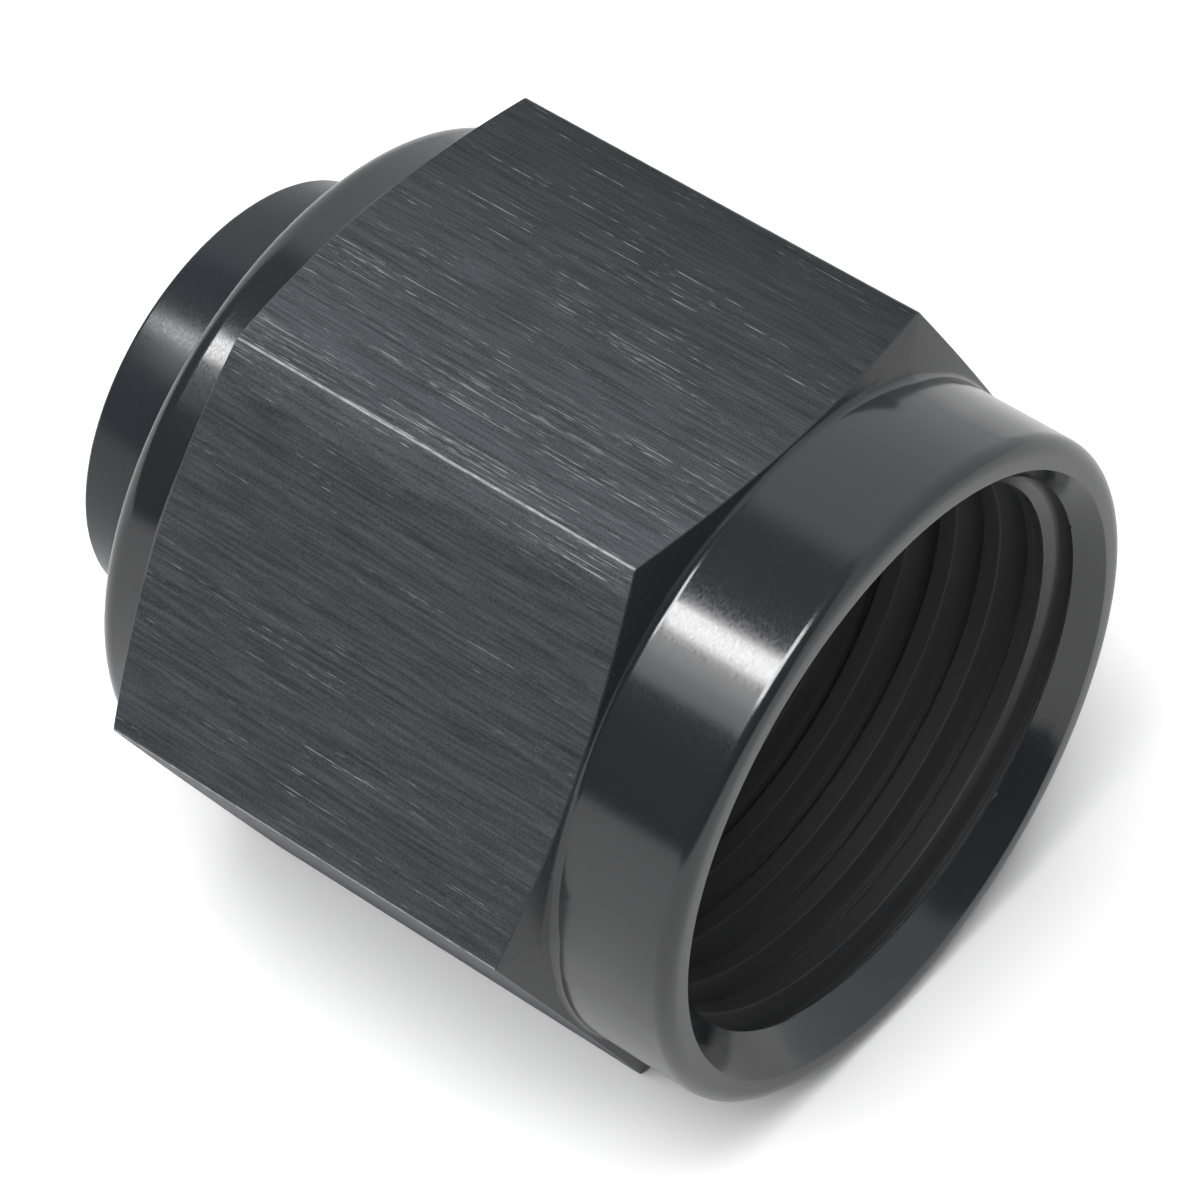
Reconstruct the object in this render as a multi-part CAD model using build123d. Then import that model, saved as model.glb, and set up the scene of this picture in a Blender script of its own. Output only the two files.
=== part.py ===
from build123d import *
import math
import os

# A threaded protection cap, turned and bored in one piece from a hexagonal aluminium bar.
# Millimetres. The origin is on the axis, midway between the two ends. +X points out of the
# mouth, and +Z points up, square to one of the six flats, so that the cap lies on the flat
# opposite. A station is a place along the axis.

# The hexagonal bar
hex_across_flats = 22.0
hex_length = 14.35
hex_edge_radius = 0.15

# The round collar in front of the hexagon
collar_diameter = 21.6
collar_length = 4.6
mouth_round = 0.53

# The round shoulder and the neck behind the hexagon
shoulder_diameter = 21.6
shoulder_length = 2.45
shoulder_round = 0.76
neck_diameter = 14.1
neck_length = 3.85
neck_edge_break = 0.15

# Both ends of the hexagon are turned to a cone, given as its slope away from a square face
front_cone_slope = 13.5
back_cone_slope = 19.0

# The blind bore: a 3/4-16 UNF thread, of which the wall here is the root, and a conical seat
thread_major_diameter = 19.05
thread_minor_diameter = 17.65
thread_depth = 12.5
countersink_diameter = 19.75
countersink_angle = 82.0
seat_angle = 74.0
seat_small_diameter = 6.0

# Radii and stations that follow from the sizes above
hex_corner_radius = hex_across_flats / math.sqrt(3)
collar_radius = collar_diameter / 2
shoulder_radius = shoulder_diameter / 2
neck_radius = neck_diameter / 2
overall_length = collar_length + hex_length + shoulder_length + neck_length
mouth = overall_length / 2
hex_front = mouth - collar_length
hex_back = hex_front - hex_length
shoulder_end = hex_back - shoulder_length
neck_end = shoulder_end - neck_length

# How far a cutter starts in front of the face that it opens
cutter_lead = 1.0


def cone_run(radial_height, degrees_from_axis):
    """Length along the axis over which a cone gains the given radius."""
    return radial_height / math.tan(math.radians(degrees_from_axis))


def revolved(outline):
    """The solid that a closed outline of (station, radius) sweeps about the axis."""
    return revolve(outline, axis=Axis.X)


def vertex_at(outline, station, radius):
    """The outline's corner nearest to a station and radius, for rounding it."""
    return outline.vertices().sort_by_distance(Vector(station, radius, 0))[0]


def hexagonal_bar():
    """The bar as it is drawn, with slightly rounded long edges."""
    section = RegularPolygon(hex_across_flats / 2, 6, major_radius=False)
    section = fillet(section.vertices(), hex_edge_radius)
    bar_end = Plane(origin=(neck_end, 0, 0), x_dir=(0, 1, 0), z_dir=(1, 0, 0))
    return extrude(bar_end * section, amount=overall_length)


def turned_envelope():
    """What the lathe leaves: collar, cone over the hexagon's corners, back cone, shoulder, neck."""
    collar_root = hex_front + cone_run(hex_corner_radius - collar_radius, 90 - front_cone_slope)
    shoulder_root = hex_back - cone_run(hex_corner_radius - shoulder_radius, 90 - back_cone_slope)
    outline = make_face(
        Polyline(
            (mouth, 0),
            (mouth, collar_radius),
            (collar_root, collar_radius),
            (hex_front, hex_corner_radius),
            (hex_back, hex_corner_radius),
            (shoulder_root, shoulder_radius),
            (shoulder_end, shoulder_radius),
            (shoulder_end, neck_radius),
            (neck_end, neck_radius),
            (neck_end, 0),
            close=True,
        )
    )
    outline = fillet(vertex_at(outline, mouth, collar_radius), mouth_round)
    outline = fillet(vertex_at(outline, shoulder_end, shoulder_radius), shoulder_round)
    outline = chamfer(vertex_at(outline, neck_end, neck_radius), neck_edge_break)
    return revolved(outline)


def blind_bore():
    """The countersink, the thread's root wall, and the seat that a fitting's nose closes on."""
    lip_radius = countersink_diameter / 2
    wall_radius = thread_major_diameter / 2
    minor_radius = thread_minor_diameter / 2
    seat_small_radius = seat_small_diameter / 2
    cone_lead = cutter_lead * math.tan(math.radians(countersink_angle / 2))
    wall_start = mouth - cone_run(lip_radius - wall_radius, countersink_angle / 2)
    thread_end = mouth - thread_depth
    seat_end = thread_end - cone_run(minor_radius - seat_small_radius, seat_angle / 2)
    outline = make_face(
        Polyline(
            (mouth + cutter_lead, 0),
            (mouth + cutter_lead, lip_radius + cone_lead),
            (wall_start, wall_radius),
            (thread_end, wall_radius),
            (thread_end, minor_radius),
            (seat_end, seat_small_radius),
            (seat_end, 0),
            close=True,
        )
    )
    return revolved(outline)


def protection_cap():
    """The bar, turned down to the envelope and bored out from the mouth."""
    return (hexagonal_bar() & turned_envelope()) - blind_bore()


os.makedirs("parts", exist_ok=True)
export_step(protection_cap(), "parts/cap.step")
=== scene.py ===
# %% [markdown]
# # A threaded protection cap
# The real cap screws over a threaded fitting to keep dirt out of it. It is turned from a hexagonal
# aluminium bar, bored and tapped from one end, and anodised black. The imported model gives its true
# size and place; this script gives it the look, with edges as a lathe leaves them, a real thread,
# and the two finishes that the eye tells apart: drawn flats and turned rounds.

# %% Load the frame
import math
from collections import namedtuple

import bmesh
import bpy
from mathutils import Matrix, Vector


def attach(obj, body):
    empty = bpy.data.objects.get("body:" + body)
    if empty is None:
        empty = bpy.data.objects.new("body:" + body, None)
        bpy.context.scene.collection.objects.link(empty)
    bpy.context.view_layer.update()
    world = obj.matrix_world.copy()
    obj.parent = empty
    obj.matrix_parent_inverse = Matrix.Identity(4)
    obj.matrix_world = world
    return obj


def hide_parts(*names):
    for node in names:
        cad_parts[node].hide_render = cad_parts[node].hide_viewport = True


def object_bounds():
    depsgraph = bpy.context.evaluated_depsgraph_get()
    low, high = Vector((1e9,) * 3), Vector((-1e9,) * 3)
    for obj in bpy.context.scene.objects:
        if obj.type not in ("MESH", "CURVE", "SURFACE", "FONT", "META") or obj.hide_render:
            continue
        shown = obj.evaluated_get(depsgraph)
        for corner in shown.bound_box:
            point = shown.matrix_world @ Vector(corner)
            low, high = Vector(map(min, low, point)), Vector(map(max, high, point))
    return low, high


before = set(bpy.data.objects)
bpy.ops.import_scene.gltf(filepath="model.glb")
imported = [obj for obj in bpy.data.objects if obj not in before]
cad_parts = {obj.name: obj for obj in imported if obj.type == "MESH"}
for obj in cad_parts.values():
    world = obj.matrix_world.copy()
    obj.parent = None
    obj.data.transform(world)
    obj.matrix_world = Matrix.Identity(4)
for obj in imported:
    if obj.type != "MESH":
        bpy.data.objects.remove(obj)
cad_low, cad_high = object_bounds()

MM = 0.001
scene = bpy.context.scene
print("frame, in mm:", [round(v / MM, 3) for v in cad_high - cad_low])

# %% [markdown]
# ## Sizes
# The cap lies with its axis along X and its mouth towards +X. A station is a place along that axis.
# The frame itself gives both ends' stations, and its height is the hexagon's width across flats. The
# others are the sizes that the lathe and the tap were set to, measured back from the mouth.

# %% Driving sizes, in millimetres
ACROSS_FLATS = (cad_high.z - cad_low.z) / MM
MOUTH = cad_high.x / MM
NECK_END = cad_low.x / MM

COLLAR_RADIUS = 10.8
COLLAR_LENGTH = 4.6
MOUTH_ROUND = 0.53
HEX_LENGTH = 14.35
SHOULDER_LENGTH = 2.45
SHOULDER_ROUND = 0.76
NECK_RADIUS = 7.05
NECK_EDGE = 0.15
FRONT_SLOPE = math.radians(13.5)
BACK_SLOPE = math.radians(19.0)

COUNTERSINK_RADIUS = 9.865
COUNTERSINK_HALF_ANGLE = math.radians(41.0)
THREAD_DEPTH = 12.5
THREAD_MAJOR_RADIUS = 9.525
THREAD_MINOR_RADIUS = 8.825
PITCH = 25.4 / 16
SEAT_HALF_ANGLE = math.radians(37.0)
SEAT_SMALL_RADIUS = 3.0

TOOL_NOSE = 0.45       # the lathe tool's nose leaves this radius in inside corners
BROKEN_EDGE = 0.05     # what a deburring stroke takes off a sharp edge
BAR_EDGE = 0.15        # the drawn bar's long edges
CORNER_RADIUS = ACROSS_FLATS / math.sqrt(3)

hex_front = MOUTH - COLLAR_LENGTH
hex_back = hex_front - HEX_LENGTH
shoulder_end = hex_back - SHOULDER_LENGTH
thread_end = MOUTH - THREAD_DEPTH
stations = [MOUTH, hex_front, hex_back, shoulder_end, NECK_END]
print("stations, in mm:", [round(v, 3) for v in stations])

# %% [markdown]
# ## Outlines with tool radii
# A turned part is one outline spun about an axis. No edge of a real one is perfectly sharp: the tool's
# nose rounds the inside corners, and a file or a tumbler breaks the outside ones. Those tiny rounds
# catch the light as thin bright lines, so they are modelled. A Bevel modifier could do it afterwards,
# but it stumbles where several cuts meet at a point. An arc in the outline is exact wherever it goes.
#
# The hexagon needs one idea more. Where a cone cuts the flats, the edge wanders along the axis, because
# the flats are nearer the axis than the corners are. So the outline is drawn twice, through a corner of
# the hexagon and through the middle of a flat, with the same number of points. Each point then carries a
# slide: how far it moves for each millimetre by which the hexagon is narrower than at its corner.

# %% An outline of rounded corners
Corner = namedtuple("Corner", "station radius rounding", defaults=(0.0,))
ARC_STEP = math.radians(11)


def corner_arc(before, here, after):
    """The points of the arc that rounds one corner, or the corner itself where it is sharp."""
    centre = Vector((here.station, here.radius))
    if not here.rounding:
        return [centre]
    back = (Vector((before.station, before.radius)) - centre).normalized()
    ahead = (Vector((after.station, after.radius)) - centre).normalized()
    inner = back.angle(ahead)
    reach = here.rounding / math.tan(inner / 2)
    pivot = centre + (back + ahead).normalized() * here.rounding / math.sin(inner / 2)
    first = (centre + back * reach - pivot).normalized()
    last = (centre + ahead * reach - pivot).normalized()
    steps = max(2, round((math.pi - inner) / ARC_STEP))
    return [pivot + first.slerp(last, k / steps) * here.rounding for k in range(steps + 1)]


def rounded(corners):
    """An outline's points in order, with an arc at each rounded corner."""
    ends = [corners[0], *corners, corners[-1]]
    return [p for k in range(1, len(ends) - 1) for p in corner_arc(*ends[k - 1:k + 2])]


def filled(points, like, longest):
    """The points with more put on each stretch, as many as keep a like outline under the longest."""
    pieces = [max(1, math.ceil((b - a).length / longest)) for a, b in zip(like, like[1:])]
    steps = [(k, j / n) for k, n in enumerate(pieces) for j in range(n)]
    return [points[k].lerp(points[k + 1], share) for k, share in steps] + [points[-1]]


def outline_object(name, points, slides=None):
    """A mesh of loose points in metres that holds an outline, with its slides as an attribute."""
    slides = slides or [Vector((0, 0))] * len(points)
    mesh = bpy.data.meshes.new(name)
    mesh.from_pydata([(p.x * MM, p.y * MM, 0) for p in points], [], [])
    attribute = mesh.attributes.new("slide", "FLOAT_VECTOR", "POINT")
    attribute.data.foreach_set("vector", [v for s in slides for v in (s.x, s.y, 0)])
    made = bpy.data.objects.new(name, mesh)
    scene.collection.objects.link(made)
    print(f"{name}: {len(points)} points")
    return made


# %% [markdown]
# ## Formulas in a node tree
# Both trees below place points by a formula. Wiring Math nodes one by one hides the formula, so a small
# class stands for a number in the tree: adding, multiplying or taking a sine of it adds the node.

# %% One way to add a node, and numbers that flow through a tree
def add_node(tree, kind, values=None, **settings):
    """Adds a node with its settings. Each value fills an input, with a link if it is a socket."""
    node = tree.nodes.new(kind)
    for name, value in settings.items():
        setattr(node, name, value)
    for key, value in (values or {}).items():
        value = getattr(value, "socket", value)
        if isinstance(value, bpy.types.NodeSocket):
            tree.links.new(value, node.inputs[key])
        else:
            node.inputs[key].default_value = value
    return node


class Number:
    """A number in a node tree. Arithmetic on it adds the Math nodes that work it out."""

    def __init__(self, tree, socket):
        self.tree = tree
        self.socket = socket

    def math(self, operation, *others):
        inputs = dict(enumerate([self, *others]))
        node = add_node(self.tree, "ShaderNodeMath", inputs, operation=operation)
        return Number(self.tree, node.outputs[0])

    def __add__(self, other):
        return self.math("ADD", other)

    def __sub__(self, other):
        return self.math("SUBTRACT", other)

    def __mul__(self, other):
        return self.math("MULTIPLY", other)

    def __truediv__(self, other):
        return self.math("DIVIDE", other)

    def __rsub__(self, other):
        return self * -1 + other

    __radd__ = __add__
    __rmul__ = __mul__


# %% [markdown]
# ## The surface round the axis
# Spin or a Screw modifier would turn an outline into circles only. A grid whose points are placed by a
# formula can follow the hexagon and the helix as well, so both trees start from one. It has one row for
# each outline point and one column for each angle. The columns aren't even: they crowd towards the
# hexagon's six corners by a sine, where the bar's rounded edge needs them, and are about two degrees
# apart in the middle of a flat. Every tree uses the same columns, so the pieces meet point for point
# and merge into one closed skin.

# %% A new tree and the grid that both trees start from
COLUMNS_PER_FLAT = 44
SEXTANT = math.pi / 3
MERGE = 2e-7           # points that are nearer than this, in metres, become one


def new_tree(name, sizes):
    """A Geometry Nodes tree with a mesh in and out, a finish, and a named input for each size."""
    tree = bpy.data.node_groups.new(name, "GeometryNodeTree")
    tree.interface.new_socket("Geometry", in_out="INPUT", socket_type="NodeSocketGeometry")
    tree.interface.new_socket("Geometry", in_out="OUTPUT", socket_type="NodeSocketGeometry")
    tree.interface.new_socket("Finish", in_out="INPUT", socket_type="NodeSocketMaterial")
    for size in sizes:
        tree.interface.new_socket(size, in_out="INPUT", socket_type="NodeSocketFloat")
    given = add_node(tree, "NodeGroupInput")
    return tree, given, {size: Number(tree, given.outputs[size]) for size in sizes}


def polar_grid(tree, given, size):
    """The grid, with the row, the angle and the angle from a flat's middle of each of its points."""
    counted = add_node(tree, "GeometryNodeAttributeDomainSize", {"Geometry": given.outputs["Geometry"]})
    rows = Number(tree, counted.outputs["Point Count"])
    columns = size["Columns Per Flat"] * 6
    grid = add_node(tree, "GeometryNodeMeshGrid", {
        "Size X": rows - 1, "Size Y": columns, "Vertices X": rows, "Vertices Y": columns + 1,
    })
    place = add_node(tree, "GeometryNodeInputPosition")
    split = add_node(tree, "ShaderNodeSeparateXYZ", {0: place.outputs[0]})
    row = (Number(tree, split.outputs[0]) + (rows - 1) / 2).math("ROUND")
    column = (Number(tree, split.outputs[1]) + columns / 2).math("ROUND")
    flat = column / size["Columns Per Flat"]
    whole = flat.math("FLOOR")
    sweep = ((flat - whole - 0.5) * math.pi).math("SINE") * (SEXTANT / 2)
    return grid.outputs["Mesh"], row, (whole + 0.5) * SEXTANT + sweep, sweep


def outline_sample(tree, given, row, field):
    """Two numbers that the outline holds at a row: station and radius, or its slide's two parts."""
    sample = add_node(tree, "GeometryNodeSampleIndex", {
        "Geometry": given.outputs["Geometry"], "Index": row,
    }, data_type="FLOAT_VECTOR", clamp=True)
    vector_input = next(s for s in sample.inputs if s.name == "Value" and s.enabled)
    tree.links.new(field, vector_input)
    vector_output = next(s for s in sample.outputs if s.enabled)
    split = add_node(tree, "ShaderNodeSeparateXYZ", {0: vector_output})
    return Number(tree, split.outputs[0]), Number(tree, split.outputs[1])


def close_tree(tree, given, mesh, station, radius, angle):
    """Moves the grid's points to their places round the axis, merges the seam, and sets the finish."""
    place = add_node(tree, "ShaderNodeCombineXYZ", {
        0: station, 1: radius * angle.math("COSINE"), 2: radius * angle.math("SINE"),
    })
    moved = add_node(tree, "GeometryNodeSetPosition", {"Geometry": mesh, "Position": place.outputs[0]})
    merged = add_node(tree, "GeometryNodeMergeByDistance", {
        "Geometry": moved.outputs[0], "Distance": MERGE,
    })
    real = add_node(tree, "GeometryNodeRealizeInstances", {"Geometry": merged.outputs[0]})
    finished = add_node(tree, "GeometryNodeSetMaterial", {
        "Geometry": real.outputs[0], "Material": given.outputs["Finish"],
    })
    add_node(tree, "NodeGroupOutput", {"Geometry": finished.outputs[0]})


def grow(source, tree, values):
    """Runs a tree on an outline, returns the result as a plain mesh, and removes the outline."""
    modifier = source.modifiers.new(tree.name, "NODES")
    modifier.node_group = tree
    for item in tree.interface.items_tree:
        if item.in_out == "INPUT" and item.name in values:
            modifier[item.identifier] = values[item.name]
    graph = bpy.context.evaluated_depsgraph_get()
    mesh = bpy.data.meshes.new_from_object(source.evaluated_get(graph), depsgraph=graph)
    source.modifiers.remove(modifier)
    outline = source.data
    bpy.data.objects.remove(source)
    bpy.data.meshes.remove(outline)
    print(f"{tree.name}: {len(mesh.vertices)} points, {len(mesh.polygons)} faces")
    return mesh


# %% [markdown]
# ## Anodised aluminium
# Anodising grows a hard clear layer of aluminium oxide on the metal, and black dye sits in its pores.
# The eye sees a very dark body under a glassy skin: reflections are pale and clear on a smooth surface,
# and strong only at a grazing angle. So this is not a metal to the renderer but a dark dielectric with
# the index of a porous aluminium oxide, about 1.63. What differs from face to face is how the metal
# was cut.

# %% Colours and the shared shader
OXIDE_INDEX = 1.63


def linear(hex_colour):
    """An sRGB hex colour as the linear numbers that shaders take."""
    parts = [int(hex_colour[k:k + 2], 16) / 255 for k in (1, 3, 5)]
    return [v / 12.92 if v <= 0.04045 else ((v + 0.055) / 1.055) ** 2.4 for v in parts] + [1.0]


def ramped(number, low, high):
    """Zero below low, one above high, and even between."""
    return ((number - low) / (high - low)).math("MAXIMUM", 0.0).math("MINIMUM", 1.0)


def anodised(name, dye, roughness):
    """A material of dyed oxide over aluminium, its shader, and its Object coordinates in millimetres."""
    material = bpy.data.materials.new(name)
    material.use_nodes = True
    tree = material.node_tree
    shader = tree.nodes["Principled BSDF"]
    shader.inputs["Base Color"].default_value = linear(dye)
    shader.inputs["Roughness"].default_value = roughness
    shader.inputs["IOR"].default_value = OXIDE_INDEX
    where = add_node(tree, "ShaderNodeTexCoord")
    scaled = add_node(tree, "ShaderNodeVectorMath", {
        0: where.outputs["Object"], 1: (1 / MM, 1 / MM, 1 / MM),
    }, operation="MULTIPLY")
    split = add_node(tree, "ShaderNodeSeparateXYZ", {0: scaled.outputs[0]})
    return material, tree, shader, [Number(tree, split.outputs[k]) for k in range(3)]


# %% [markdown]
# ### Turned
# The lathe tool leaves rings a few hundredths of a millimetre apart round the axis, and etching before
# the dye breaks them into short grains. They are too fine to see by themselves, but they fray the edges
# of each reflection, as some grains are rougher than others. A Wave texture would draw rings too even
# to be real, so one noise does this. Its first coordinate is the distance gone along the outline, which
# makes the grains follow the rings on cylinders, end faces and the outside's cones alike; the other two
# are slower, so that each grain is drawn out round the axis.
#
# The rings were cut with different care, so one function makes three finishes. The collar, the shoulder
# and both cones of the bore are glossy, the neck is satin, and the cone in front of the hexagon, where
# the tool cut and missed in turn, is matte and looks a little paler.

# %% Turned finishes
RING_SPACING = 0.045   # between feed marks; the real ones are finer, and this is as fine as shows
GRAIN_LENGTH = 0.12    # of a grain, along its ring
GRAIN_CONTRAST = 1.3   # how far the roughness swings about its middle from grain to grain
RING_DEPTH = 0.0001    # of a feed mark that is left after etching


def turned_finish(name, dye, gloss, roughness):
    """Black anodised aluminium as it comes off a lathe, with so strong a reflection and so dull."""
    material, tree, shader, (x, y, z) = anodised(name, dye, roughness)
    radius = (y * y + z * z).math("SQRT")
    place = add_node(tree, "ShaderNodeCombineXYZ", {
        0: (x.math("ABSOLUTE") - radius) / RING_SPACING, 1: y / GRAIN_LENGTH, 2: z / GRAIN_LENGTH,
    })
    noise = add_node(tree, "ShaderNodeTexNoise", {
        "Vector": place.outputs[0], "Scale": 1.0, "Detail": 1.0,
    })
    rings = Number(tree, noise.outputs[0])
    level = (rings * GRAIN_CONTRAST + (1 - GRAIN_CONTRAST / 2)) * roughness
    tree.links.new(level.socket, shader.inputs["Roughness"])
    shader.inputs["Specular IOR Level"].default_value = gloss
    bump = add_node(tree, "ShaderNodeBump", {
        "Height": rings, "Strength": 1.0, "Distance": RING_DEPTH * MM,
    })
    tree.links.new(bump.outputs[0], shader.inputs["Normal"])
    print("finish:", name)
    return material


turned = turned_finish(
    "turned_black_anodised_aluminium", dye="#1f2022", gloss=0.5, roughness=0.15)
matte = turned_finish(
    "matte_turned_black_anodised_aluminium", dye="#2a2b2d", gloss=0.28, roughness=0.22)
satin = turned_finish(
    "satin_turned_black_anodised_aluminium", dye="#25282c", gloss=0.24, roughness=0.22)

# %% [markdown]
# ### Tapped
# A tap tears the metal more than a turning tool does, so the thread is dull. It is smooth only on the
# first turn, which the countersink's cutter has burnished. Thin pale lines along the leading edges of
# its crests are painted highlights, and the colour is painted paler behind each tooth, and more so the
# deeper in the bore it lies: painted light that lifts the shade there.
#
# All of this follows the helix, so the finish needs no image and no UV map. The shader counts turns
# from the station and the angle, and the part of a turn that is left over says where on the tooth a
# point is: from a leading edge at 0 over the front flank, the root, the next tooth's back flank and
# its crest to 1. Each of them gets its own share of a paler colour, as painted light.

# %% Tapped finish
CREST_BEHIND_MOUTH = 1.797     # to the leading edge of a crest, at the angle below
CREST_ANGLE = math.radians(300)
crest_start = MOUTH - CREST_BEHIND_MOUTH - PITCH * CREST_ANGLE / (2 * math.pi)

FRONT_FLANK = (0.05, 0.25)     # the stretch of a turn over which each part of a tooth fades in
BACK_FLANK = (0.35, 0.40)
CREST = (0.61, 0.65)
DEPTH_FADE = (1.0, 9.0)        # behind the mouth, the stretch over which painted light makes the colour paler
BURNISHED = (1.9, 1.45)        # behind the mouth, the stretch over which the thread gets smooth
ABOVE_CREST = (0.5, 0.3)       # and the same from near the root down to the crest


def tapped_finish(name, dye, pale, roughness, edge_width):
    """Dull black anodised aluminium with painted highlight lines along the leading edges of the crests,
    and painted light that makes the bore's hollows and depths paler.
    """
    material, tree, shader, (x, y, z) = anodised(name, dye, roughness)
    turns = (x - crest_start) / PITCH - z.math("ARCTAN2", y) / (2 * math.pi)
    part = turns.math("FRACT")
    off_edge = ((turns + 0.5).math("FRACT") - 0.5).math("ABSOLUTE") * PITCH
    above_crest = (y * y + z * z).math("SQRT") - THREAD_MINOR_RADIUS
    # Painted highlight: thin pale lines along the leading edges of the crests.
    painted_edge_highlight = ramped(off_edge, edge_width, edge_width / 2)
    painted_edge_highlight = painted_edge_highlight * ramped(above_crest, edge_width, edge_width / 2)
    # Painted light: the crest, the groove, the back flank behind each tooth and the deep bore get paler
    # colour that lifts their shade.
    crest = ramped(part, *CREST)
    groove = ramped(part, *FRONT_FLANK) - crest
    behind = ramped(part, *BACK_FLANK) * ramped(part, *reversed(CREST))
    deep = ramped(x, *[MOUTH - depth for depth in DEPTH_FADE])
    paler = painted_edge_highlight * 0.05 + groove * 0.035 + crest * 0.03 + behind * 0.3 + deep * 0.13
    colour = add_node(tree, "ShaderNodeMix", {
        0: paler, 6: linear(dye), 7: linear(pale),
    }, data_type="RGBA")
    tree.links.new(colour.outputs[2], shader.inputs["Base Color"])
    smooth = ramped(x, *[MOUTH - depth for depth in BURNISHED])
    smooth = smooth * ramped(above_crest, *ABOVE_CREST)
    tree.links.new((smooth * 0.3 + 0.1).socket, shader.inputs["Specular IOR Level"])
    tree.links.new((roughness - smooth * 0.4).socket, shader.inputs["Roughness"])
    print("finish:", name)
    return material


tapped = tapped_finish(
    "tapped_black_anodised_aluminium", dye="#29292a", pale="#b6b6b8", roughness=0.6, edge_width=0.04)

# %% [markdown]
# ### Drawn and brushed
# The flats keep the surface of the bar: long shallow lines along it, some darker and some paler, with
# short pale dashes where a burr took less dye, and a painted highlight strip on each long edge. A
# picture of brushed metal would repeat, and need unwrapping. Noises stretched along the axis don't: each
# has the length and width of the mark that it draws, and as they are sampled in three dimensions, the
# six flats share one rule and no two are alike. The top flat carries painted light: its marks and dashes
# are painted stronger and paler along its near edge, and the flat is painted darker towards the far one.

# %% A noise drawn out along the axis
def stretched_noise(tree, place, length, width, detail=0.0):
    """A noise whose features are so long along the axis and so wide across it, in millimetres."""
    x, y, z = place
    stretched = add_node(tree, "ShaderNodeCombineXYZ", {0: x / length, 1: y / width, 2: z / width})
    noise = add_node(tree, "ShaderNodeTexNoise", {
        "Vector": stretched.outputs[0], "Scale": 1.0, "Detail": detail,
    })
    return Number(tree, noise.outputs[0])


# %% Brushed finish
LINE_DEPTH = 0.002         # of a line that the die has drawn
DASHES = (0.72, 0.86)      # what the burrs' noise has to reach for a dash to begin, and to be full
STRIP = (0.035, 0.021)     # how far inside the corner's radius the painted highlight strip begins and is full
TOP_FLAT = (9.5, 11.0)     # the heights between which the top flat's painted light fades in
ACROSS_TOP = (6.5, -6.5)   # from the top flat's far edge to its near one


def brushed_finish(name, dye, pale, bare_and_highlight, roughness):
    """Black anodised aluminium with the drawn bar's long lines, pale dashes, painted edge highlights,
    and painted light across the top flat.
    """
    material, tree, shader, place = anodised(name, dye, roughness)
    _, y, z = place
    lines = stretched_noise(tree, place, 1.8, 0.09)
    bands = stretched_noise(tree, place, 9.0, 0.35, 1.0)
    grain = stretched_noise(tree, place, 0.07, 0.05)
    burrs = stretched_noise(tree, place, 4.0, 0.034) * 0.65
    burrs = burrs + stretched_noise(tree, place, 0.4, 0.034) * 0.35
    crowd = stretched_noise(tree, place, 6.0, 1.2, 1.0)
    highlight_breakup = stretched_noise(tree, place, 0.25, 0.08, 1.0)

    # Painted light: the top flat's marks and dashes are painted stronger and paler towards its near
    # edge, and the flat darker towards its far one.
    top = ramped(z, *TOP_FLAT)
    painted_top_light = top * ramped(y, *ACROSS_TOP)
    tone = lines * 0.12 + bands * 0.05 + grain * 0.09 - 0.03
    strength = painted_top_light - top * 0.41 + 0.87    # from 0.46 to 1.46 across the top flat
    dyed = add_node(tree, "ShaderNodeMix", {
        0: tone * strength, 6: linear(dye), 7: linear(pale),
    }, data_type="RGBA")

    dashes = ramped(burrs + (crowd - 0.5) * 0.22 + painted_top_light * 0.10, *DASHES)
    # Painted highlight: a pale strip along each long edge of the bar, broken up by a noise.
    radius = (y * y + z * z).math("SQRT")
    strip = ramped(radius, *[CORNER_RADIUS - inside for inside in STRIP])
    painted_edge_highlight = strip * (highlight_breakup * 1.3 + 0.05)
    colour = add_node(tree, "ShaderNodeMix", {
        0: (dashes * 0.5).math("MAXIMUM", painted_edge_highlight), 6: dyed.outputs[2], 7: linear(bare_and_highlight),
    }, data_type="RGBA")
    tree.links.new(colour.outputs[2], shader.inputs["Base Color"])
    shader.inputs["Specular IOR Level"].default_value = 0.1
    bump = add_node(tree, "ShaderNodeBump", {
        "Height": lines, "Strength": 1.0, "Distance": LINE_DEPTH * MM,
    })
    tree.links.new(bump.outputs[0], shader.inputs["Normal"])
    print("finish:", name)
    return material


brushed = brushed_finish(
    "brushed_black_anodised_aluminium", dye="#0d0f12", pale="#b2b4bd", bare_and_highlight="#bcbdbe", roughness=0.42)

# %% [markdown]
# ## The outside
# Collar, hexagon, shoulder and neck are one outline from the mouth to the middle of the neck's end. The
# points that lie on the hexagon slide along their cones as it narrows. Booleans could cut a hexagonal
# prism with the cones instead, but they leave long thin faces and edges too ragged to round.

# %% The tree that spins an outline and lets it follow the hexagon
hex_tree, given, size = new_tree("spun_outline", ["Columns Per Flat", "Across Flats", "Bar Edge"])
mesh, row, angle, sweep = polar_grid(hex_tree, given, size)
flat_radius = size["Across Flats"] / 2 / sweep.math("COSINE")
from_corner = SEXTANT / 2 - sweep.math("ABSOLUTE")
edge = size["Bar Edge"]
edge_centre = (size["Across Flats"] / 2 - edge) / math.cos(SEXTANT / 2)
across = edge_centre * from_corner.math("SINE")
edge_radius = edge_centre * from_corner.math("COSINE") + (edge * edge - across * across).math("SQRT")
tangent_angle = (edge * 0.5).math("ARCTAN2", edge_centre + edge * math.cos(SEXTANT / 2))
is_edge = from_corner.math("LESS_THAN", tangent_angle)
hexagon = flat_radius + (edge_radius - flat_radius) * is_edge
narrower = size["Across Flats"] / math.sqrt(3) - hexagon

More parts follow.
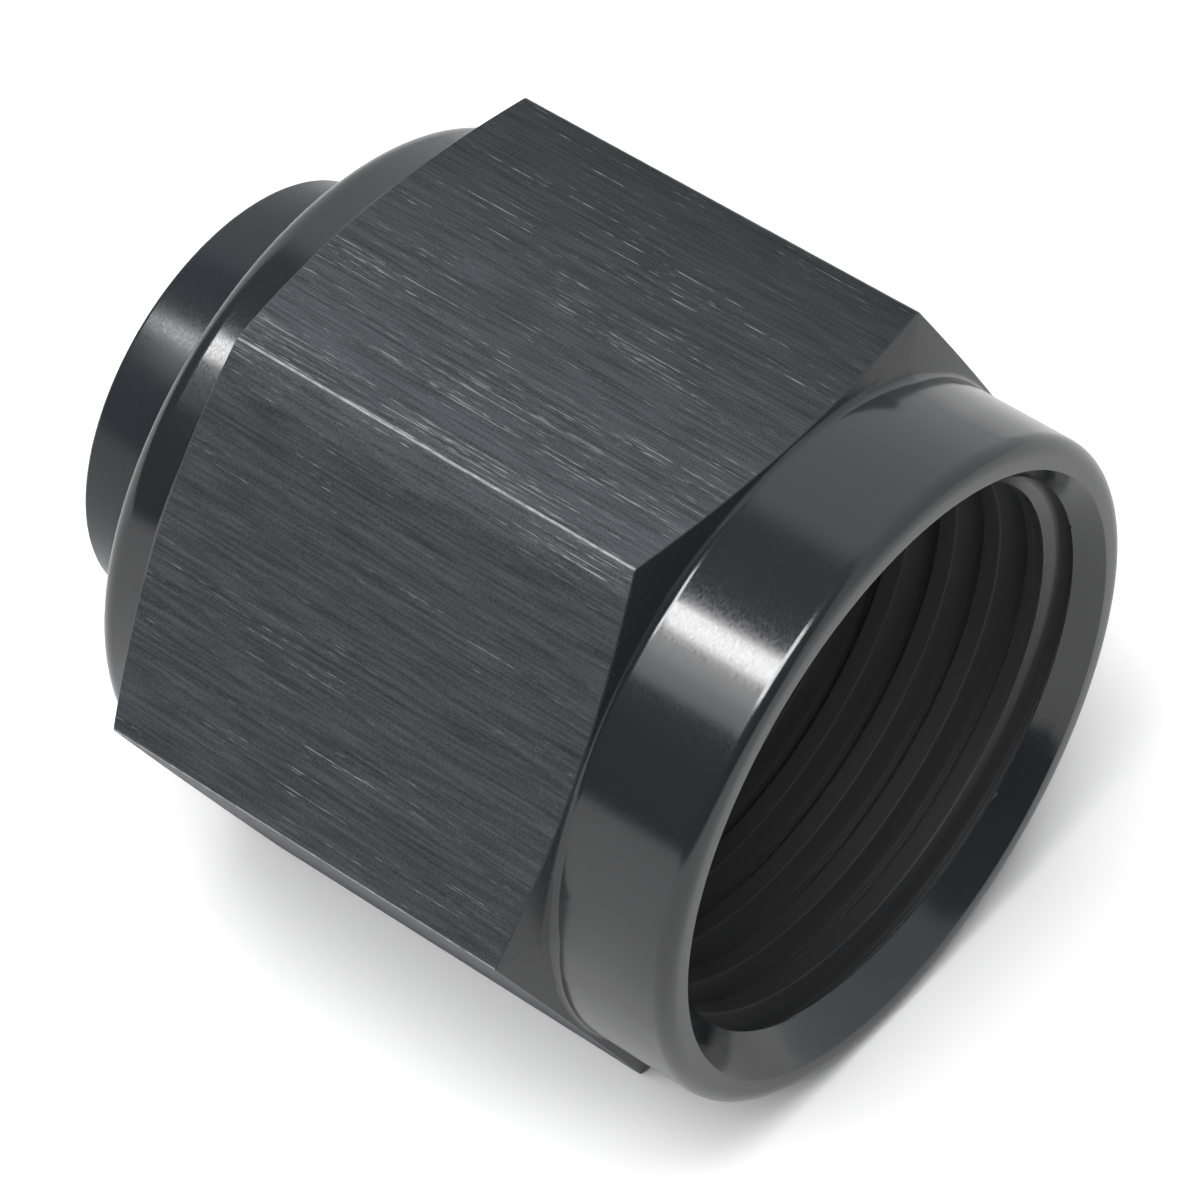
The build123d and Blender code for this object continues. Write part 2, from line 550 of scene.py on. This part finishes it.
position = add_node(hex_tree, "GeometryNodeInputPosition").outputs[0]
slide = add_node(hex_tree, "GeometryNodeInputNamedAttribute", {
    "Name": "slide",
}, data_type="FLOAT_VECTOR")
slide_field = next(s for s in slide.outputs if s.enabled)
station, radius = outline_sample(hex_tree, given, row, position)
slide_along, slide_out = outline_sample(hex_tree, given, row, slide_field)
close_tree(hex_tree, given, mesh, station + narrower * slide_along, radius + narrower * slide_out, angle)
print(f"{hex_tree.name}: {len(hex_tree.nodes)} nodes")

# %% The outside and the seat
LONGEST = 2.0          # the longest stretch of an outline between two of its points
NOSE_AT_FLAT = 0.2     # over a flat's middle the step from collar to hexagon leaves room for no more
wall_start = MOUTH - (COUNTERSINK_RADIUS - THREAD_MAJOR_RADIUS) / math.tan(COUNTERSINK_HALF_ANGLE)
seat_end = thread_end - (THREAD_MINOR_RADIUS - SEAT_SMALL_RADIUS) / math.tan(SEAT_HALF_ANGLE)


def outside_corners(hex_radius, nose):
    """The outline from the bore's wall round the lip, over the hexagon, to the end of the neck."""
    front_cut = hex_front + (CORNER_RADIUS - hex_radius) * math.tan(FRONT_SLOPE)
    back_cut = hex_back - (CORNER_RADIUS - hex_radius) * math.tan(BACK_SLOPE)
    collar_root = front_cut + (hex_radius - COLLAR_RADIUS) * math.tan(FRONT_SLOPE)
    shoulder_root = back_cut - (hex_radius - COLLAR_RADIUS) * math.tan(BACK_SLOPE)
    return [
        Corner(wall_start, THREAD_MAJOR_RADIUS),
        Corner(MOUTH, COUNTERSINK_RADIUS, BROKEN_EDGE),
        Corner(MOUTH, COLLAR_RADIUS, MOUTH_ROUND),
        Corner(collar_root, COLLAR_RADIUS, nose),
        Corner(front_cut, hex_radius, BROKEN_EDGE),
        Corner(back_cut, hex_radius, BROKEN_EDGE),
        Corner(shoulder_root, COLLAR_RADIUS, nose),
        Corner(shoulder_end, COLLAR_RADIUS, SHOULDER_ROUND),
        Corner(shoulder_end, NECK_RADIUS, TOOL_NOSE),
        Corner(NECK_END, NECK_RADIUS, NECK_EDGE),
        Corner(NECK_END, 0),
    ]


def outside_outline():
    """The outline over a corner of the hexagon, and each point's slide towards a flat's middle."""
    over_corner = rounded(outside_corners(CORNER_RADIUS, TOOL_NOSE))
    over_flat = rounded(outside_corners(ACROSS_FLATS / 2, NOSE_AT_FLAT))
    points = filled(over_corner, over_corner, LONGEST)
    twins = filled(over_flat, over_corner, LONGEST)
    narrower = CORNER_RADIUS - ACROSS_FLATS / 2
    return points, [(twin - point) / narrower for point, twin in zip(points, twins)]


outside = outline_object("outside", *outside_outline())
seat_points = rounded([
    Corner(thread_end, THREAD_MINOR_RADIUS),
    Corner(seat_end, SEAT_SMALL_RADIUS, TOOL_NOSE),
    Corner(seat_end, 0),
])
seat = outline_object("seat", filled(seat_points, seat_points, LONGEST))

hex_sizes = {
    "Finish": turned, "Columns Per Flat": float(COLUMNS_PER_FLAT),
    "Across Flats": ACROSS_FLATS * MM, "Bar Edge": BAR_EDGE * MM,
}
outside_mesh = grow(outside, hex_tree, hex_sizes)
seat_mesh = grow(seat, hex_tree, hex_sizes)

# %% [markdown]
# ## The thread
# A tap cuts one groove that winds inwards to the right. Its outline is a row of equal teeth with flat
# crests and roots and flanks at sixty degrees. The tree lays that row along the axis and moves each
# column on by its share of the pitch, which winds the teeth into a helix; the last column then lies
# where the first one's next tooth is, and the merge joins them. A Screw modifier winds teeth as well,
# but leaves both ends of the helix open, and here both have to close on a round edge.
#
# Two cutters cross the teeth. The countersink opens the mouth: wherever its cone is wider than the
# thread, the cone is the surface. The tap's tapered lead cuts shallower turns at the bottom. Points near
# the line where the cone crosses a flank are moved on to that line, so that it is drawn cleanly.

# %% The tree that winds an outline into a helix
SAME_SLOPE = 0.01      # a point is within a straight flank if its two sides' slopes differ by less

thread_tree, given, size = new_tree("wound_outline", [
    "Columns Per Flat", "Pitch", "Start", "Mouth", "Wall Start", "Thread End", "Lip Radius",
    "Cone Slope", "Lead Radius", "Lead Slope",
])
mesh, row, angle, _ = polar_grid(thread_tree, given, size)
position = add_node(thread_tree, "GeometryNodeInputPosition").outputs[0]
behind, radius = outline_sample(thread_tree, given, row, position)
behind_next, radius_next = outline_sample(thread_tree, given, row + 1, position)
behind_last, radius_last = outline_sample(thread_tree, given, row - 1, position)
slope_next = (radius_next - radius) / (behind_next - behind)
slope_last = (radius - radius_last) / (behind - behind_last)
straight = (slope_next - slope_last).math("ABSOLUTE").math("LESS_THAN", SAME_SLOPE)

station = size["Start"] + size["Pitch"] * angle / (2 * math.pi) - behind
cone = size["Lip Radius"] + (station - size["Mouth"]) * size["Cone Slope"]
to_line = (radius - cone) / (slope_next + size["Cone Slope"])
reach = (behind_next - behind) * 0.5
move = to_line * straight * to_line.math("ABSOLUTE").math("LESS_THAN", reach)
radius = radius - move * slope_next
station = (station + move).math("MINIMUM", size["Wall Start"]).math("MAXIMUM", size["Thread End"])
cone = size["Lip Radius"] + (station - size["Mouth"]) * size["Cone Slope"]
lead = size["Lead Radius"] + (station - size["Thread End"]) * size["Lead Slope"]
close_tree(thread_tree, given, mesh, station, radius.math("MINIMUM", lead).math("MAXIMUM", cone), angle)
print(f"{thread_tree.name}: {len(thread_tree.nodes)} nodes")

# %% The teeth and the thread
CREST_EDGE = 0.03      # the small rounds along a crest
ROOT_ROUND = 0.04      # and along a root
TOOTH_SPACING = 0.2    # the longest stretch between two points of a tooth
LEAD_TURNS = 1.5       # over which the tap's lead tapers
FLANK_ANGLE = math.radians(30)     # of each flank, so that the two stand at sixty degrees

flank = (THREAD_MAJOR_RADIUS - THREAD_MINOR_RADIUS) * math.tan(FLANK_ANGLE)
root_flat = PITCH / 8              # as the standard for this thread gives it
crest_flat = PITCH - root_flat - 2 * flank
start = crest_start
while start < wall_start:
    start += PITCH

tooth_points = rounded([
    Corner(0, THREAD_MINOR_RADIUS),
    Corner(crest_flat / 2, THREAD_MINOR_RADIUS, CREST_EDGE),
    Corner(crest_flat / 2 + flank, THREAD_MAJOR_RADIUS, ROOT_ROUND),
    Corner(crest_flat / 2 + flank + root_flat, THREAD_MAJOR_RADIUS, ROOT_ROUND),
    Corner(PITCH - crest_flat / 2, THREAD_MINOR_RADIUS, CREST_EDGE),
    Corner(PITCH, THREAD_MINOR_RADIUS),
])
tooth = filled(tooth_points, tooth_points, TOOTH_SPACING)[:-1]
teeth = math.ceil((start + PITCH - thread_end) / PITCH)
row_of_teeth = [p + Vector((PITCH * k, 0)) for k in range(teeth + 1) for p in tooth]
thread = outline_object("row_of_teeth", row_of_teeth)

thread_mesh = grow(thread, thread_tree, {
    "Finish": tapped, "Columns Per Flat": float(COLUMNS_PER_FLAT),
    "Pitch": PITCH * MM, "Start": (start - crest_flat / 2) * MM, "Mouth": MOUTH * MM,
    "Wall Start": wall_start * MM, "Thread End": thread_end * MM,
    "Lip Radius": COUNTERSINK_RADIUS * MM, "Cone Slope": math.tan(COUNTERSINK_HALF_ANGLE),
    "Lead Radius": THREAD_MINOR_RADIUS * MM,
    "Lead Slope": (THREAD_MAJOR_RADIUS - THREAD_MINOR_RADIUS) / (LEAD_TURNS * PITCH),
})

# %% [markdown]
# ## One closed skin
# The three meshes meet on two rings of points. Merging them gives one closed surface, as the real cap is
# one piece. The finishes are then shared out by how each face was cut, which its place and direction
# tell. A face beyond the collar's radius belongs to a flat if it runs along the axis, and to the front
# cone if it looks towards the mouth. Whatever lies behind the shoulder is the neck, and what the
# countersink's cone has cut off the first teeth is as glossy as the rest of that cone.
#
# Smooth shading would bulge the flats towards their tiny broken edges. A Weighted Normal modifier lets
# the large faces decide instead, so the flats look flat and only the broken edges turn the light.

# %% The finish of each face
BEYOND_COLLAR = COLLAR_RADIUS + 0.1    # more than the collar and the shoulder reach
ALONG_AXIS = 0.15      # how little the normal of a face on a flat points along the axis
TO_MOUTH = 0.5         # how much that of a face on the front cone does
ON_CONE = 0.01         # how near a face that the countersink has cut is to its cone


def finish_of(face, cut):
    """The finish that a face has by its place, or else that of the cut that made it."""
    middle = face.calc_center_median()
    radius = math.hypot(middle.y, middle.z)
    beyond_collar = radius > BEYOND_COLLAR * MM
    cone = COUNTERSINK_RADIUS * MM + (middle.x - MOUTH * MM) * math.tan(COUNTERSINK_HALF_ANGLE)
    if middle.x < shoulder_end * MM:
        return satin
    if beyond_collar and face.normal.x > TO_MOUTH:
        return matte
    if abs(radius - cone) < ON_CONE * MM:
        return turned
    if beyond_collar and abs(face.normal.x) < ALONG_AXIS:
        return brushed
    return cut


# %% Join, close and shade
SMOOTH_UP_TO = math.radians(32)    # edges that turn by more than this stay sharp


def joined(name, meshes, finishes):
    """One mesh from several that meet, with every seam closed and every face looking outwards."""
    shell = bmesh.new()
    for source in meshes:
        first_new = len(shell.faces)
        shell.from_mesh(source)
        shell.faces.ensure_lookup_table()
        for face in shell.faces[first_new:]:
            face.material_index = finishes.index(source.materials[face.material_index])
    bmesh.ops.remove_doubles(shell, verts=shell.verts, dist=MERGE)
    bmesh.ops.dissolve_degenerate(shell, edges=shell.edges, dist=MERGE / 2)
    bmesh.ops.recalc_face_normals(shell, faces=shell.faces)
    for face in shell.faces:
        face.material_index = finishes.index(finish_of(face, finishes[face.material_index]))
    open_edges = sum(1 for e in shell.edges if len(e.link_faces) != 2)
    mesh = bpy.data.meshes.new(name)
    shell.to_mesh(mesh)
    volume = shell.calc_volume(signed=True) / MM ** 3
    shell.free()
    for finish in finishes:
        mesh.materials.append(finish)
    mesh.shade_smooth()
    mesh.set_sharp_from_angle(angle=SMOOTH_UP_TO)
    print(f"{name}: {len(mesh.polygons)} faces, {open_edges} open edges, {volume:.0f} cubic mm")
    return mesh


pieces = [outside_mesh, thread_mesh, seat_mesh]
finishes = [turned, brushed, matte, satin, tapped]
cap = bpy.data.objects.new("protection_cap", joined("protection_cap", pieces, finishes))
scene.collection.objects.link(cap)
even = cap.modifiers.new("even_normals", "WEIGHTED_NORMAL")
even.keep_sharp = True
even.weight = 100      # the most that large faces can count
triangles = sum(len(p.vertices) - 2 for p in cap.data.polygons)
print("triangles:", triangles)

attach(cap, "root")
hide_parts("cap")

# %% [markdown]
# ## The studio
# The cap lies on white paper in a plain studio, and on a glossy dark part most of what the eye sees is
# that studio. Walls and a ceiling could be built, but a room painted on the world is simpler, and only
# mirrored rays find it there: a white wall behind that reaches nearly overhead, and a dim cool room
# from there over to the front, both a little weaker towards the mouth. Four lamps hang in the dim part,
# and they too show only in reflections. The long soft box makes the streak across the cap and the short
# one the glint in front of it, and a grey and a dim box beside the long one let the streak fade out.
#
# The paper and the dull metal are lit by three suns instead, each spread over as much of the sky as a
# bright cloud: one straight above, and two from the near side. So the shadow is soft and lies close
# round the cap. The paper runs on past the picture, and the camera sees it exposed so that it is pure
# white where nothing shades it, while the cap gets only the light that white paper would throw back.

# %% Floor
PAPER = ((-2.0, -2.0), (2.0, 2.0))     # its corners, in metres
PAPER_WHITE = 0.89        # the share of its light that the paper throws back at the cap
PAPER_EXPOSURE = 1.227    # the picture is exposed so that the open paper is pure white
floor_mesh = bpy.data.meshes.new("paper_floor")
(x0, y0), (x1, y1) = PAPER
corners = [(x0, y0), (x1, y0), (x1, y1), (x0, y1)]
floor_mesh.from_pydata([(x, y, cad_low.z) for x, y in corners], [], [(0, 1, 2, 3)])
floor = bpy.data.objects.new("paper_floor", floor_mesh)
scene.collection.objects.link(floor)
paper = bpy.data.materials.new("white_paper")
paper.use_nodes = True
tree = paper.node_tree
tree.nodes.clear()
rays = add_node(tree, "ShaderNodeLightPath")
lit = add_node(tree, "ShaderNodeBsdfDiffuse", {"Color": (*[PAPER_WHITE] * 3, 1.0)})
exposed = add_node(tree, "ShaderNodeBsdfDiffuse", {"Color": (*[PAPER_EXPOSURE] * 3, 1.0)})
seen = add_node(tree, "ShaderNodeMixShader", {
    0: rays.outputs["Is Camera Ray"], 1: lit.outputs[0], 2: exposed.outputs[0],
})
add_node(tree, "ShaderNodeOutputMaterial", {"Surface": seen.outputs[0]})
floor_mesh.materials.append(paper)
print("floor at, in mm:", round(cad_low.z / MM, 3))

# %% The room's light
COOL = (0.92, 0.99, 1.12)
GREY = (0.97, 1.0, 1.05)
AMBIENT = 0.02         # what the room adds to the light on dull surfaces
WEAKER = 0.2           # how much less bright it is towards the mouth
WEAKER_FROM = 0.7      # reached where this much of a direction lies along the axis
ROOM = [               # degrees up from behind and over to the front, brightness, tint
    (0, 1.0, GREY), (72, 1.0, GREY), (80, 0.26, COOL), (108, 0.22, COOL), (140, 0.17, COOL),
    (170, 0.14, COOL), (180, 0.05, COOL),
]
world = bpy.data.worlds.new("studio")
world.use_nodes = True
scene.world = world
tree = world.node_tree
tree.nodes.clear()
where = add_node(tree, "ShaderNodeTexCoord")
split = add_node(tree, "ShaderNodeSeparateXYZ", {0: where.outputs["Generated"]})
along, away, height = [Number(tree, split.outputs[k]) for k in range(3)]
below = height.math("LESS_THAN", 0.0)
over = height.math("ARCTAN2", away) / math.pi + below * 2
ramp = add_node(tree, "ShaderNodeValToRGB", {"Fac": over})
stops = ramp.color_ramp.elements
stops.remove(stops[1])
for k, (degrees, brightness, tint) in enumerate(ROOM):
    stop = stops.new(degrees / 180) if k else stops[0]
    stop.color = [brightness * v for v in tint] + [1.0]
rays = add_node(tree, "ShaderNodeLightPath")
fade = 1 - ramped(along, 0.0, WEAKER_FROM) * WEAKER
room = add_node(tree, "ShaderNodeBackground", {"Color": ramp.outputs["Color"], "Strength": fade})
white = add_node(tree, "ShaderNodeBackground", {"Color": (1.0, 1.0, 1.0, 1.0)})
dim = add_node(tree, "ShaderNodeBackground", {"Color": (*[AMBIENT] * 3, 1.0)})
mirrored = add_node(tree, "ShaderNodeMixShader", {
    0: rays.outputs["Is Glossy Ray"], 1: dim.outputs[0], 2: room.outputs[0],
})
seen = add_node(tree, "ShaderNodeMixShader", {
    0: rays.outputs["Is Camera Ray"], 1: mirrored.outputs[0], 2: white.outputs[0],
})
add_node(tree, "ShaderNodeOutputWorld", {"Surface": seen.outputs[0]})
world.cycles.sampling_method = "NONE"
print("room:", len(stops), "bands")

# %% The soft boxes
BOX_DISTANCE = 0.8     # from the origin, in metres
SOFT_BOXES = [         # name, radiance, degrees over from behind, and degrees from square to the axis
    ("long_box", 17.0, (113.4, 122.6), (-37.5, 15)),
    ("short_box", 12.0, (101, 128), (14, 34)),
    ("grey_box", 3.1, (124, 131), (-35, 25)),
    ("dim_box", 1.9, (131, 139), (-35, 25)),
]


def soft_box(name, radiance, over, along):
    """A flat lamp that is seen in reflections only, given by the angles between which it shows."""
    middle = math.radians(sum(over) / 2)
    towards = Vector((0, math.cos(middle), math.sin(middle)))
    start, stop = [BOX_DISTANCE * math.tan(math.radians(end)) for end in along]
    lamp = bpy.data.lights.new(name, "AREA")
    lamp.shape = "RECTANGLE"
    lamp.size = stop - start
    lamp.size_y = 2 * BOX_DISTANCE * math.tan(math.radians(over[1] - over[0]) / 2)
    lamp.energy = radiance * math.pi * lamp.size * lamp.size_y
    box = bpy.data.objects.new(name, lamp)
    facing = Matrix((Vector((1, 0, 0)), towards.cross(Vector((1, 0, 0))), towards)).transposed()
    centre = towards * BOX_DISTANCE + Vector(((start + stop) / 2, 0, 0))
    box.matrix_world = Matrix.Translation(centre) @ facing.to_4x4()
    box.visible_camera = False
    box.visible_diffuse = False
    scene.collection.objects.link(box)


for sizes in SOFT_BOXES:
    soft_box(*sizes)
print("soft boxes:", [name for name, *_ in SOFT_BOXES])

# %% The light on the paper
SUN_WIDTH = math.radians(50)
SUNS = [               # share of the paper's light, degrees up, and degrees round from the mouth
    (0.63, 90, 0), (0.475, 53, 245), (0.355, 52, 300),
]
for k, (share, elevation, azimuth) in enumerate(SUNS):
    rise = math.radians(elevation)
    turn = math.radians(azimuth)
    level = Vector((math.cos(turn), math.sin(turn), 0))
    towards = level * math.cos(rise) + Vector((0, 0, math.sin(rise)))
    lamp = bpy.data.lights.new(f"sun_{k}", "SUN")
    lamp.energy = share * math.pi / (PAPER_EXPOSURE * math.sin(rise))
    lamp.angle = SUN_WIDTH
    sun = bpy.data.objects.new(f"sun_{k}", lamp)
    sun.visible_glossy = False
    sun.rotation_euler = towards.to_track_quat("Z", "Y").to_euler()
    scene.collection.objects.link(sun)
print("suns:", len(SUNS))

# %% [markdown]
# ## The camera
# The photograph was taken with a long lens from a fair way off, above the mouth and to one side of it,
# so parallel edges stay nearly parallel. Where it stood and how far it was tilted were worked out from
# the part's edges in the photograph. They are given as angles and a distance, because those can be
# read and changed by hand, and a matrix of nine numbers can't. The sizes are in millimetres.

# %% The camera
CAMERA_AZIMUTH = math.radians(50.149)
CAMERA_ELEVATION = math.radians(47.246)
CAMERA_ROLL = math.radians(-1.011)
CAMERA_DISTANCE = 171.53
CAMERA_TARGET = Vector((MOUTH - 9.92, -1.49, 2.10))
SENSOR = 36.0
LENS = 177.96
CLIP_START = 0.01      # in metres

back = Vector((
    math.cos(CAMERA_ELEVATION) * math.cos(CAMERA_AZIMUTH),
    -math.cos(CAMERA_ELEVATION) * math.sin(CAMERA_AZIMUTH),
    math.sin(CAMERA_ELEVATION),
))
level = Vector((math.sin(CAMERA_AZIMUTH), math.cos(CAMERA_AZIMUTH), 0))
upright = back.cross(level)
right = level * math.cos(CAMERA_ROLL) + upright * math.sin(CAMERA_ROLL)
up = upright * math.cos(CAMERA_ROLL) - level * math.sin(CAMERA_ROLL)
eye = (CAMERA_TARGET + back * CAMERA_DISTANCE) * MM
camera = bpy.data.objects.new("camera", bpy.data.cameras.new("camera"))
camera.data.sensor_width = SENSOR
camera.data.lens = LENS
camera.data.clip_start = CLIP_START
camera.matrix_world = Matrix.Translation(eye) @ Matrix((right, up, back)).transposed().to_4x4()
scene.collection.objects.link(camera)
scene.camera = camera
print("camera at, in mm:", [round(v / MM, 2) for v in eye])

scene.view_settings.view_transform = "Standard"
